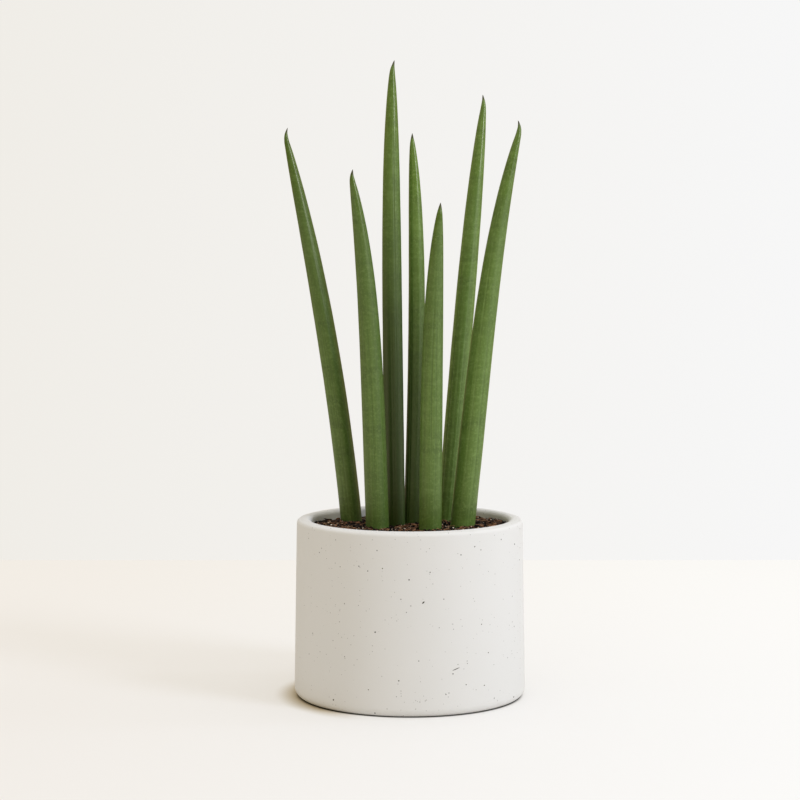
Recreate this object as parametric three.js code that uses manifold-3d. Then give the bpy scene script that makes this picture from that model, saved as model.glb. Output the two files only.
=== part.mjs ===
// Potted mikado snake plant: seven round, tapering leaves that stand on one rootstock in a soil filled pot.
// Millimetres, +Z up. The origin is the centre of the flat face that the pot stands on, and the viewer of the
// photograph looks along +Y with +X to the right.
import * as THREE from "three";
import { mergeVertices } from "three/addons/utils/BufferGeometryUtils.js";
import Module from "manifold-3d";

// Pot: a thick cylinder, a little wider at its foot, with rounded edges
const POT_HEIGHT = 94.4;
const POT_RIM_RADIUS = 60;
const POT_FOOT_RADIUS = 61.5;
const POT_MOUTH_RADIUS = 52.5;
const POT_FLOOR_RADIUS = 51;
const POT_FLOOR_THICKNESS = 9;
const FOOT_ROUNDING = 3;
const RIM_FALL = 0.45; // how much lower the rim's outer edge lies than its inner edge
const RIM_OUTER_ROUNDING = 1.9;
const RIM_INNER_ROUNDING = 1.7;
const FLOOR_ROUNDING = 6;
const POT_SIDES = 64;
const ROUNDING_STEPS = 3;

// Soil: fills the pot to a little under the rim, with a nearly level, crumbly top
const SOIL_EDGE_HEIGHT = 90.4;
const SOIL_CENTRE_HEIGHT = 90;
const SOIL_RINGS = 9;
const SOIL_SIDES = 40;
const SOIL_CRUMB_RELIEF = 0.7;
const SOIL_SEED = 11;

// Clearance between neighbouring pieces
const GAP = 0.3;

// Leaves: each rises from its foot at the soil's level. At the tip it has moved sideways by lean and curl,
// given as [x, y]: lean grows evenly with height and curl with height to the power of bend. The last
// hookLength below the tip turns aside by hook. Height is counted from the soil. Radius is that of the foot,
// and a greater fullness keeps the leaf thick for longer before it narrows to the tip.
const LEAF_LEVEL = 90;
const LEAVES = [
  {
    name: "leaf_1",
    foot: [-31.5, 23],
    lean: [-20.6, 4],
    curl: [-16, 5],
    bend: 2,
    hook: [2.3, -0.4],
    hookLength: 7,
    height: 212,
    radius: 5.8,
    fullness: 2.9,
  },
  {
    name: "leaf_2",
    foot: [-17, -7.5],
    lean: [-6.1, -4],
    curl: [-7.9, -6],
    bend: 4,
    hook: [1.4, 0.5],
    hookLength: 6,
    height: 188,
    radius: 6.2,
    fullness: 3.1,
  },
  {
    name: "leaf_3",
    foot: [-7.7, 8.5],
    lean: [-3.5, 1],
    curl: [2, 3],
    bend: 4,
    hook: [1.1, 0.2],
    hookLength: 7,
    height: 246.5,
    radius: 5.4,
    fullness: 4.75,
  },
  {
    name: "leaf_4",
    foot: [1.3, 14.5],
    lean: [6.5, 1],
    curl: [-6.7, 3],
    bend: 3,
    hook: [0.3, -0.6],
    hookLength: 6,
    height: 208.4,
    radius: 4.5,
    fullness: 5.5,
  },
  {
    name: "leaf_5",
    foot: [10.7, -13.5],
    lean: [1.4, -5],
    curl: [3.6, -7],
    bend: 4,
    hook: [0, 0.9],
    hookLength: 9,
    height: 170.7,
    radius: 5.95,
    fullness: 3.3,
  },
  {
    name: "leaf_6",
    foot: [20.4, 28],
    lean: [18.5, 7],
    curl: [2, 8],
    bend: 3,
    hook: [-1.1, -0.5],
    hookLength: 7,
    height: 230.5,
    radius: 5.5,
    fullness: 3.85,
  },
  {
    name: "leaf_7",
    foot: [27.9, 0],
    lean: [21.6, 2],
    curl: [9.6, 2],
    bend: 4,
    hook: [-2.1, 0.4],
    hookLength: 7,
    height: 214.4,
    radius: 6.75,
    fullness: 2.7,
  },
];
const LEAF_SUNK = 26; // length of each leaf that stands in the soil
const LEAF_SUNK_TAPER = 0.12; // share of the radius lost over that length
const LEAF_TIP_RADIUS = 0.4;
const LEAF_POINT_POWER = 0.62; // how bluntly every leaf's point rounds off
const LEAF_CHANNEL_DEPTH = 0.06; // share of the radius, in the shallow channel that faces the clump's middle
const LEAF_CHANNEL_POWER = 8;
const LEAF_SIDES = 16;
const LEAF_STATIONS = 22;
const LEAF_STATION_POWER = 1.7; // above 1 sets the rings closer towards the tip
const CLUMP_MIDDLE = [0, 4];

// Rootstock: thick knotted runners under the soil, with a short stub that carries each leaf
const RUNNER_HEIGHT = 52;
const RUNNER_RADIUS = 5.6;
const KNOT_RADIUS = 7.4;
const STUB_FLARE = 1;
const ROOT_SIDES = 8;
const RUNNERS = [
  ["leaf_1", "leaf_3"],
  ["leaf_2", "leaf_3"],
  ["leaf_3", "leaf_4"],
  ["leaf_4", "leaf_6"],
  ["leaf_6", "leaf_7"],
  ["leaf_7", "leaf_5"],
];

const wasm = await Module();
wasm.setup();

// A closed geometry as a solid that can be joined and cut.
function solidOf(geometry) {
  const bare = geometry.clone();
  bare.deleteAttribute("normal");
  bare.deleteAttribute("uv");
  const merged = mergeVertices(bare, 1e-3);
  const mesh = new wasm.Mesh({
    numProp: 3,
    vertProperties: merged.attributes.position.array,
    triVerts: new Uint32Array(merged.index.array),
  });
  return new wasm.Manifold(mesh);
}

function geometryOf(solid) {
  const mesh = solid.getMesh();
  const geometry = new THREE.BufferGeometry();
  geometry.setAttribute("position", new THREE.BufferAttribute(mesh.vertProperties, 3));
  geometry.setIndex(new THREE.BufferAttribute(mesh.triVerts, 1));
  geometry.computeVertexNormals();
  return geometry;
}

// A solid of revolution round +Z, from [radius, height] points that start and end on the axis.
function turned(profile, sides) {
  const points = profile.map(([radius, height]) => new THREE.Vector2(radius, height));
  return new THREE.LatheGeometry(points, sides).rotateX(Math.PI / 2);
}

// Profile points on an arc, from one angle to another in degrees, with 0 pointing away from the axis.
function arc(centreRadius, centreHeight, rounding, from, to) {
  const points = [];
  for (let i = 0; i <= ROUNDING_STEPS; i += 1) {
    const angle = THREE.MathUtils.degToRad(from + ((to - from) * i) / ROUNDING_STEPS);
    points.push([centreRadius + rounding * Math.cos(angle), centreHeight + rounding * Math.sin(angle)]);
  }
  return points;
}

function potGeometry() {
  const outerEdge = POT_HEIGHT - RIM_FALL;
  const profile = [
    [0, 0],
    ...arc(POT_FOOT_RADIUS - FOOT_ROUNDING, FOOT_ROUNDING, FOOT_ROUNDING, -90, 0),
    ...arc(POT_RIM_RADIUS - RIM_OUTER_ROUNDING, outerEdge - RIM_OUTER_ROUNDING, RIM_OUTER_ROUNDING, 0, 90),
    ...arc(POT_MOUTH_RADIUS + RIM_INNER_ROUNDING, POT_HEIGHT - RIM_INNER_ROUNDING, RIM_INNER_ROUNDING, 90, 180),
    ...arc(POT_FLOOR_RADIUS - FLOOR_ROUNDING, POT_FLOOR_THICKNESS + FLOOR_ROUNDING, FLOOR_ROUNDING, 0, -90),
    [0, POT_FLOOR_THICKNESS],
  ];
  return turned(profile, POT_SIDES);
}

// Height of the leaf's ring as a share of the leaf, 0 at the soil and 1 at the tip, negative in the soil.
function shareOfLeaf(leaf, z) {
  return (z - LEAF_LEVEL) / leaf.height;
}

// Where the leaf's middle line crosses height z, as [x, y].
function leafCentre(leaf, z) {
  const share = shareOfLeaf(leaf, z);
  const below = leaf.height + LEAF_LEVEL - z;
  const curled = Math.max(share, 0) ** leaf.bend;
  const hooked = Math.max(1 - below / leaf.hookLength, 0) ** 2;
  return [0, 1].map((i) => leaf.foot[i] + leaf.lean[i] * share + leaf.curl[i] * curled + leaf.hook[i] * hooked);
}

function leafRadius(leaf, z) {
  const share = shareOfLeaf(leaf, z);
  if (share <= 0) {
    const depth = (LEAF_LEVEL - z) / LEAF_SUNK;
    return leaf.radius * (1 - LEAF_SUNK_TAPER * depth);
  }
  const filled = (1 - share ** leaf.fullness) ** LEAF_POINT_POWER;
  return Math.max(leaf.radius * filled, LEAF_TIP_RADIUS);
}

// Moves a turned geometry's rings onto the leaf's middle line and presses the channel into them.
function bendToLeaf(geometry, leaf) {
  const position = geometry.attributes.position;
  const facing = Math.atan2(CLUMP_MIDDLE[1] - leaf.foot[1], CLUMP_MIDDLE[0] - leaf.foot[0]);
  for (let i = 0; i < position.count; i += 1) {
    const x = position.getX(i);
    const y = position.getY(i);
    const z = position.getZ(i);
    const [centreX, centreY] = leafCentre(leaf, z);
    const towards = Math.max(Math.cos(Math.atan2(y, x) - facing), 0) ** LEAF_CHANNEL_POWER;
    const pressed = 1 - LEAF_CHANNEL_DEPTH * towards;
    position.setXY(i, centreX + x * pressed, centreY + y * pressed);
  }
  return geometry;
}

function leafGeometry(leaf) {
  const bottom = LEAF_LEVEL - LEAF_SUNK;
  const tip = LEAF_LEVEL + leaf.height;
  const heights = [bottom, LEAF_LEVEL - LEAF_SUNK / 2];
  for (let i = LEAF_STATIONS; i >= 0; i -= 1) {
    heights.push(tip - leaf.height * (i / LEAF_STATIONS) ** LEAF_STATION_POWER);
  }
  const profile = [[0, bottom], ...heights.map((z) => [leafRadius(leaf, z), z]), [0, tip]];
  return bendToLeaf(turned(profile, LEAF_SIDES), leaf);
}

// The plain hole in the soil round a leaf, from under its foot to above the soil.
function leafHole(leaf) {
  const bottom = LEAF_LEVEL - LEAF_SUNK - GAP;
  const heights = [bottom, LEAF_LEVEL - LEAF_SUNK / 2, LEAF_LEVEL, POT_HEIGHT];
  const clearance = GAP * 1.3;
  const profile = [[0, bottom], ...heights.map((z) => [leafRadius(leaf, z) + clearance, z]), [0, POT_HEIGHT]];
  return bendToLeaf(turned(profile, LEAF_SIDES), leaf);
}

// The rootstock's solid, grown outwards by clearance where it serves as the hollow that the soil leaves for it.
function rootstock(clearance) {
  const leafByName = new Map(LEAVES.map((leaf) => [leaf.name, leaf]));
  const seat = LEAF_LEVEL - LEAF_SUNK - GAP;
  const knotCentre = (leaf) => new THREE.Vector3(...leafCentre(leaf, seat), RUNNER_HEIGHT);
  let whole = null;
  const join = (geometry) => {
    const piece = solidOf(geometry);
    whole = whole ? whole.add(piece) : piece;
  };
  for (const leaf of LEAVES) {
    const centre = knotCentre(leaf);
    const knot = new THREE.SphereGeometry(KNOT_RADIUS + clearance, ROOT_SIDES, ROOT_SIDES / 2);
    join(knot.rotateX(Math.PI / 2).translate(centre.x, centre.y, centre.z));
    const top = leafRadius(leaf, seat) + clearance;
    const stub = turned(
      [
        [0, RUNNER_HEIGHT],
        [top + STUB_FLARE, RUNNER_HEIGHT],
        [top, seat + clearance],
        [0, seat + clearance],
      ],
      ROOT_SIDES,
    );
    join(stub.translate(centre.x, centre.y, 0));
  }
  for (const [from, to] of RUNNERS) {
    const start = knotCentre(leafByName.get(from));
    const end = knotCentre(leafByName.get(to));
    const along = end.clone().sub(start);
    const radius = RUNNER_RADIUS + clearance;
    const runner = new THREE.CylinderGeometry(radius, radius, along.length(), ROOT_SIDES);
    const turn = new THREE.Quaternion().setFromUnitVectors(new THREE.Vector3(0, 1, 0), along.normalize());
    const middle = start.add(end).multiplyScalar(0.5);
    join(runner.applyQuaternion(turn).translate(middle.x, middle.y, middle.z));
  }
  return whole;
}

function soilGeometry() {
  const wall = POT_MOUTH_RADIUS - GAP;
  const floor = POT_FLOOR_RADIUS - GAP;
  const bottom = POT_FLOOR_THICKNESS + GAP;
  const profile = [[0, bottom], ...arc(floor - FLOOR_ROUNDING, bottom + FLOOR_ROUNDING, FLOOR_ROUNDING, -90, 0)];
  const top = floor + ((wall - floor) * (SOIL_EDGE_HEIGHT - bottom)) / (POT_HEIGHT - bottom);
  for (let i = SOIL_RINGS; i >= 0; i -= 1) {
    const share = i / SOIL_RINGS;
    const mound = (SOIL_CENTRE_HEIGHT - SOIL_EDGE_HEIGHT) * (1 - share * share);
    profile.push([top * share, SOIL_EDGE_HEIGHT + mound]);
  }
  const bare = turned(profile, SOIL_SIDES);
  bare.deleteAttribute("normal");
  bare.deleteAttribute("uv");
  const body = mergeVertices(bare, 1e-3);
  const position = body.attributes.position;
  THREE.MathUtils.seededRandom(SOIL_SEED);
  for (let i = 0; i < position.count; i += 1) {
    const outwards = Math.hypot(position.getX(i), position.getY(i)) / wall;
    const crumb = SOIL_CRUMB_RELIEF * Math.sqrt(outwards) * (2 * THREE.MathUtils.seededRandom() - 1);
    const z = position.getZ(i);
    if (z >= SOIL_EDGE_HEIGHT - GAP) {
      position.setZ(i, z + crumb);
    }
  }
  let hollow = rootstock(GAP * 1.3);
  for (const leaf of LEAVES) {
    hollow = hollow.add(solidOf(leafHole(leaf)));
  }
  return geometryOf(solidOf(body).subtract(hollow));
}

function addPiece(group, name, geometry, material) {
  const mesh = new THREE.Mesh(geometry, material);
  mesh.name = name;
  group.add(mesh);
}

const stoneware = new THREE.MeshStandardMaterial({ color: "#e4e1da", roughness: 0.85, metalness: 0 });
const pottingSoil = new THREE.MeshStandardMaterial({ color: "#4a2c1d", roughness: 1, metalness: 0 });
const leafSkin = new THREE.MeshStandardMaterial({ color: "#527035", roughness: 0.5, metalness: 0 });
const rootSkin = new THREE.MeshStandardMaterial({ color: "#c58d52", roughness: 0.8, metalness: 0 });

const plant = new THREE.Group();
addPiece(plant, "pot", potGeometry(), stoneware);
addPiece(plant, "soil", soilGeometry(), pottingSoil);
addPiece(plant, "rootstock", geometryOf(rootstock(0)), rootSkin);
for (const leaf of LEAVES) {
  addPiece(plant, leaf.name, leafGeometry(leaf), leafSkin);
}

export default plant;
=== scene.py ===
"""Potted mikado snake plant: the finish of its pot, its soil, its rootstock and its seven leaves.

Everything is in metres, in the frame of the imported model: +Z up, the origin in the middle of the flat face
that the pot stands on, and the viewer of the photograph looking along +Y with +X to the right.
"""

import math
import random
from itertools import combinations

import bmesh
import bpy
from mathutils import Euler, Matrix, Vector, noise


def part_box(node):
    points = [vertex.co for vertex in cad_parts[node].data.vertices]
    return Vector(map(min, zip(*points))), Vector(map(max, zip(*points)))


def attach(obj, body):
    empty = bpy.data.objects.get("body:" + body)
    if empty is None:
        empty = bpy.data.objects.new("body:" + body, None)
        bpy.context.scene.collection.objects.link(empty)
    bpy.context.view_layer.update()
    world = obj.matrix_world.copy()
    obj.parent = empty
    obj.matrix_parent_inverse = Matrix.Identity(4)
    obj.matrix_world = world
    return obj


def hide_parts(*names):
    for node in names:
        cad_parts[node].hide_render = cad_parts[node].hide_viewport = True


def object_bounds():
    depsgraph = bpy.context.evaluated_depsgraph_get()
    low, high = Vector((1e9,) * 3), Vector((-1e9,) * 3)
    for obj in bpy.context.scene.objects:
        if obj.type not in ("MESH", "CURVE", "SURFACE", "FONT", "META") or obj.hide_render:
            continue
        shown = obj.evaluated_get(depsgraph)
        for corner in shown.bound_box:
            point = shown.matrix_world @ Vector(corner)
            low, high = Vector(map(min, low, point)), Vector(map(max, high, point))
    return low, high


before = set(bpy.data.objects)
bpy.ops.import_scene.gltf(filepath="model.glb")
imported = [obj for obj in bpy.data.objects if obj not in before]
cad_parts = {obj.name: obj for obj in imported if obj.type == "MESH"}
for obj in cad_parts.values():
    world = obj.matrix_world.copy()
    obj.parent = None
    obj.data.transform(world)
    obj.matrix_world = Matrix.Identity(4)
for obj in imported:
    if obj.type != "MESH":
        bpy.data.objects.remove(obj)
CAD_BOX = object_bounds()

bl_info = {
    "name": "Potted Mikado Snake Plant",
    "version": (1, 0, 0),
    "blender": (4, 5, 0),
    "location": "3D View > Sidebar > Snake Plant",
    "description": "Builds the pot, soil, rootstock and leaves of a snake plant, and a stage for it",
    "category": "Add Mesh",
}

MM = 0.001

# Sockets of the Mix node when it mixes colours
MIX_A = 6
MIX_B = 7
MIX_RESULT = 2

# Settings that many shader nodes share
SMOOTH = {"interpolation_type": "SMOOTHSTEP"}
TIMES = {"operation": "MULTIPLY"}
TIMES_AND_ADD = {"operation": "MULTIPLY_ADD"}


def srgb(code):
    """A colour written as sRGB hex, such as #8a9b4c, as linear red, green and blue."""
    shares = [int(code[i:i + 2], 16) / 255 for i in (1, 3, 5)]
    return tuple(s / 12.92 if s <= 0.04045 else ((s + 0.055) / 1.055) ** 2.4 for s in shares)


def opaque(colour):
    """A colour as a shader socket takes it, with full opacity."""
    return (*colour, 1.0)


def per(size_mm):
    """The scale that gives a texture in metres one feature in every size_mm millimetres."""
    return 1 / (size_mm * MM)


def smooth(start, end, value):
    """0 up to start, 1 from end on, and an even S curve between them."""
    share = min(max((value - start) / (end - start), 0), 1)
    return share * share * (3 - 2 * share)


# Kinds of speck in the clay: spacing and greatest radius in millimetres, share of the places that hold one,
# and how dark it is
SPECK_KINDS = ((1.6, 0.3, 0.3, 0.42), (2.4, 0.38, 0.2, 0.65), (3.6, 0.5, 0.13, 1.0))

# The iron marks that stand out on the front of the pot: place across and up, half the length and half the
# width, all in millimetres, and the tilt in degrees
IRON_MARKS = (
    (6.6, 59.0, 0.8, 0.36, -45),
    (23.2, 24.3, 1.9, 0.2, -20),
    (21.7, 22.0, 0.34, 0.3, 0),
    (-0.6, 70.6, 0.38, 0.34, 0),
    (-5.8, 19.2, 0.36, 0.32, 0),
    (32.8, 86.0, 0.4, 0.26, -60),
    (25.7, 82.4, 0.34, 0.28, 0),
    (-26.0, 76.6, 0.32, 0.28, 0),
    (10.0, 74.3, 0.32, 0.27, 0),
    (38.0, 14.2, 0.3, 0.26, 0),
    (28.5, 15.8, 0.3, 0.25, 0),
    (40.1, 30.7, 0.28, 0.26, 0),
    (4.3, 29.3, 0.34, 0.2, 20),
    (-21.2, 13.9, 0.27, 0.25, 0),
)
# How far a mark's ellipse reaches into the wall, in millimetres, and the shares of the ellipse between which
# its edge fades
MARK_DEPTH = 5
MARK_EDGE = (1.25, 0.75)

# Points across the top of the rim, between its two rounded edges
RIM_TOP_POINTS = 5

# Relief of the soil's top, as the distance between its humps and their height, in millimetres
DRIFTS = (14, 0.7)
CLODS = (4.2, 1.2)
CRUMBS = (1.5, 0.8)

# A greater power leaves more of the bits on the soil dark
BIT_TONE_POWER = 1.7

# Share of its thickness that a leaf keeps at the very end of its spike
SPIKE_THICKNESS = 0.82
# Shares of a leaf's height between which its green changes from that of its foot, partly painted shade, to
# that of its tip
GREEN_CHANGE = (0.3, 0.8)
# Distance by which the patterns of one leaf lie away from those of the next, so that no two are alike
PATTERN_SHIFT = 0.7
# No groove is deeper than this share of the leaf's radius
DEEPEST_GROOVE = 0.1

# Where the floor is painted black, as a painted contact shadow in the gap under the pot's rounded foot,
# measured in from the foot's edge
GAP_START = 0.5 * MM
GAP_END = 3.2 * MM
# Where the pot's painted soft shadow lies: from inside the foot's edge outwards, and left of the middle
SHADOW_START = 2 * MM
SHADOW_REACH = 12 * MM
SHADOW_SIDES = (-20 * MM, -50 * MM)

# In millimetres, as Blender gives it
SENSOR_WIDTH = 36
# The place in the middle of the plant that the soft boxes are turned to
LAMP_TARGET = (0, 0, 0.15)


# What the frame says about the pieces

def corners_of(node):
    """The different corners of a node of the frame, whose faces share none."""
    return sorted({tuple(round(c, 7) for c in v.co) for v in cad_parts[node].data.vertices})


def leaf_rings(node):
    """The rings of a leaf from the lowest up, as (height, (middle x, middle y, radius)).

    The two corners that lie furthest apart on a ring are across its middle, clear of the channel.
    """
    levels = {}
    for x, y, z in corners_of(node):
        levels.setdefault(round(z, 6), []).append(Vector((x, y)))
    rings = []
    for z, corners in sorted(levels.items()):
        one, other = max(combinations(corners, 2), key=lambda pair: (pair[0] - pair[1]).length)
        middle = (one + other) / 2
        rings.append((z, Vector((middle.x, middle.y, (one - other).length / 2))))
    return rings


def on_rings(rings, z):
    """Middle and radius of a leaf at height z, on a smooth curve through its rings."""
    last = len(rings) - 2
    i = next((k for k in range(last + 1) if z <= rings[k + 1][0]), last)

    def slope(k):
        before = rings[max(k - 1, 0)]
        after = rings[min(k + 1, last + 1)]
        return (after[1] - before[1]) / (after[0] - before[0])

    (low, start), (high, end) = rings[i], rings[i + 1]
    span = high - low
    t = (z - low) / span
    return (
        start * (1 + 2 * t) * (1 - t) ** 2
        + slope(i) * span * t * (1 - t) ** 2
        + end * t * t * (3 - 2 * t)
        + slope(i + 1) * span * t * t * (t - 1)
    )


def pot_sizes():
    """The pot's main sizes in the frame."""
    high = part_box("pot")[1]
    corners = [(math.hypot(x, y), z) for x, y, z in corners_of("pot")]
    rim = [radius for radius, z in corners if z > high.z - 0.01 * MM]
    outer_edge, rim_outside = max((z, radius) for radius, z in corners if radius > max(rim) + 1 * MM)
    on_axis = [z for radius, z in corners if radius < 0.01 * MM]
    return {
        "height": high.z,
        "foot_radius": high.x,
        "outer_edge": outer_edge,
        "rim_outside": rim_outside,
        "mouth_radius": min(radius for radius, z in corners if z > high.z - 10 * MM),
        "floor": max(on_axis),
    }


LEAF_NAMES = sorted(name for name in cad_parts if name.startswith("leaf_"))
LEAF_RINGS = {name: leaf_rings(name) for name in LEAF_NAMES}
# The third ring of every leaf lies level with the soil
SOIL_LEVEL = LEAF_RINGS[LEAF_NAMES[0]][2][0]
FEET = {name: on_rings(rings, SOIL_LEVEL) for name, rings in LEAF_RINGS.items()}
POT = pot_sizes()


# Meshes

def spun(profile, steps):
    """A closed body of revolution round +Z, from (radius, height) points that start and end on the axis."""
    bm = bmesh.new()
    corners = [bm.verts.new((radius, 0, height)) for radius, height in profile]
    edges = [bm.edges.new(pair) for pair in zip(corners, corners[1:])]
    bmesh.ops.spin(
        bm, geom=corners + edges, cent=(0, 0, 0), axis=(0, 0, 1), angle=math.tau, steps=steps, use_merge=True
    )
    bmesh.ops.remove_doubles(bm, verts=bm.verts, dist=0.001 * MM)
    bmesh.ops.recalc_face_normals(bm, faces=bm.faces)
    return bm


def arc(middle_radius, middle_height, rounding, start, end, steps):
    """Profile points on an arc, from one angle to another in degrees, with 0 pointing away from the axis."""
    points = []
    for i in range(steps + 1):
        angle = math.radians(start + (end - start) * i / steps)
        out, up = math.cos(angle), math.sin(angle)
        points.append((middle_radius + rounding * out, middle_height + rounding * up))
    return points


def between(start, end, steps):
    """Profile points on the straight line between two points, without the two points."""
    return [tuple(Vector(start).lerp(Vector(end), i / steps)) for i in range(1, steps)]


def finish_piece(bm, name, material, slot, *nodes):
    """Make an object of a bmesh, which rides with the pot and stands for the given nodes of the frame."""
    old = bpy.data.objects.get(name)
    if old:
        bpy.data.objects.remove(old)
    for face in bm.faces:
        face.smooth = True
    mesh = bpy.data.meshes.new(name)
    bm.to_mesh(mesh)
    bm.free()
    mesh.materials.append(material)
    piece = bpy.data.objects.new(name, mesh)
    bpy.context.scene.collection.objects.link(piece)
    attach(piece, "root")
    if nodes:
        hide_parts(*nodes)


# Materials

def add_node(tree, kind, settings, inputs):
    """Add a shader node. An input takes a value, a node, whose first output it gets, or an output socket."""
    node = tree.nodes.new("ShaderNode" + kind)
    for name, value in settings.items():
        setattr(node, name, value)
    for key, value in inputs.items():
        if isinstance(value, bpy.types.Node):
            value = value.outputs[0]
        if isinstance(value, bpy.types.NodeSocket):
            tree.links.new(value, node.inputs[key])
        else:
            node.inputs[key].default_value = value
    return node


def new_material(name):
    """An empty node material, with the tree that its nodes go in."""
    old = bpy.data.materials.get(name)
    if old:
        bpy.data.materials.remove(old)
    material = bpy.data.materials.new(name)
    material.use_nodes = True
    material.node_tree.nodes.clear()
    return material, material.node_tree


def mix_colours(tree, share, first, second):
    """The colour between two colours, by a share from 0 to 1."""
    node = add_node(tree, "Mix", {"data_type": "RGBA"}, {0: share, MIX_A: first, MIX_B: second})
    return node.outputs[MIX_RESULT]


def iron_mark(tree, place, mark):
    """How much of an iron mark, an ellipse on the front of the pot, shows at a place, from 0 to 1."""
    across, up, half_long, half_wide, tilt = mark
    radius = POT["foot_radius"] + (POT["rim_outside"] - POT["foot_radius"]) * up * MM / POT["height"]
    depth = -math.sqrt(radius ** 2 - (across * MM) ** 2)
    inside = add_node(tree, "Mapping", {"vector_type": "TEXTURE"}, {
        "Vector": place,
        "Location": (across * MM, depth, up * MM),
        "Rotation": (0, math.radians(tilt), 0),
        "Scale": (half_long * MM, MARK_DEPTH * MM, half_wide * MM),
    })
    away = add_node(tree, "VectorMath", {"operation": "LENGTH"}, {0: inside})
    return add_node(tree, "MapRange", SMOOTH, {
        "Value": away.outputs["Value"], "From Min": MARK_EDGE[0], "From Max": MARK_EDGE[1],
    })


def speckled_stoneware(pot):
    """Stoneware with iron in its clay, sponged smooth and fired without gloss.

    The eye gets a soft, chalky, pale grey with dark specks of several sizes, closer together in places.
    """
    material, tree = new_material("speckled_matt_stoneware")
    place = add_node(tree, "TexCoord", {}, {}).outputs["Object"]
    cloud = add_node(tree, "TexNoise", {}, {"Vector": place, "Scale": per(38), "Detail": 2.0})
    colour = mix_colours(tree, cloud, opaque(pot.clay), opaque(pot.clay_shade))
    drift = add_node(tree, "TexNoise", {}, {"Vector": place, "Scale": per(16), "Detail": 1.0})
    crowd = add_node(tree, "MapRange", {}, {
        "Value": drift, "From Min": 0.38, "From Max": 0.6, "To Min": 0.25,
    })
    pits = None
    for spacing, radius, share, strength in SPECK_KINDS:
        cells = add_node(tree, "TexVoronoi", {}, {"Vector": place, "Scale": per(spacing)})
        dice = add_node(tree, "SeparateColor", {}, {"Color": cells.outputs["Color"]})
        limit = add_node(tree, "Math", TIMES, {0: crowd, 1: share})
        chosen = add_node(tree, "Math", {"operation": "LESS_THAN"}, {0: dice.outputs[0], 1: limit})
        size = add_node(tree, "MapRange", {}, {
            "Value": dice.outputs[1], "To Min": 0.45 * radius / spacing, "To Max": radius / spacing,
        })
        inside = add_node(tree, "Math", {"operation": "DIVIDE"}, {0: cells.outputs["Distance"], 1: size})
        dot = add_node(tree, "MapRange", SMOOTH, {
            "Value": inside, "From Min": 1.1, "From Max": 0.7,
        })
        spot = add_node(tree, "Math", TIMES, {0: dot, 1: chosen})
        shown = add_node(tree, "Math", TIMES, {0: spot, 1: strength})
        colour = mix_colours(tree, shown.outputs[0], colour, opaque(pot.speck))
        pits = spot if pits is None else add_node(tree, "Math", {"operation": "MAXIMUM"}, {0: pits, 1: spot})
    for mark in IRON_MARKS:
        colour = mix_colours(tree, iron_mark(tree, place, mark).outputs[0], colour, opaque(pot.speck))
    # The clay's own grain is finer than a pixel of the render, so it is drawn coarse enough to show
    grain = add_node(tree, "TexNoise", {}, {
        "Vector": place, "Scale": per(0.9), "Detail": 3.0, "Roughness": 0.6,
    })
    relief = add_node(tree, "Math", TIMES_AND_ADD, {0: pits, 1: -0.8, 2: grain})
    bump = add_node(tree, "Bump", {}, {"Height": relief, "Strength": 0.35, "Distance": 0.06 * MM})
    matt = add_node(tree, "MapRange", {}, {"Value": grain, "To Min": 0.78, "To Max": 0.92})
    shader = add_node(tree, "BsdfPrincipled", {}, {
        "Base Color": colour, "Roughness": matt, "Normal": bump, "IOR": 1.5, "Specular IOR Level": 0.25,
    })
    add_node(tree, "OutputMaterial", {}, {"Surface": shader})
    return material


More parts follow.
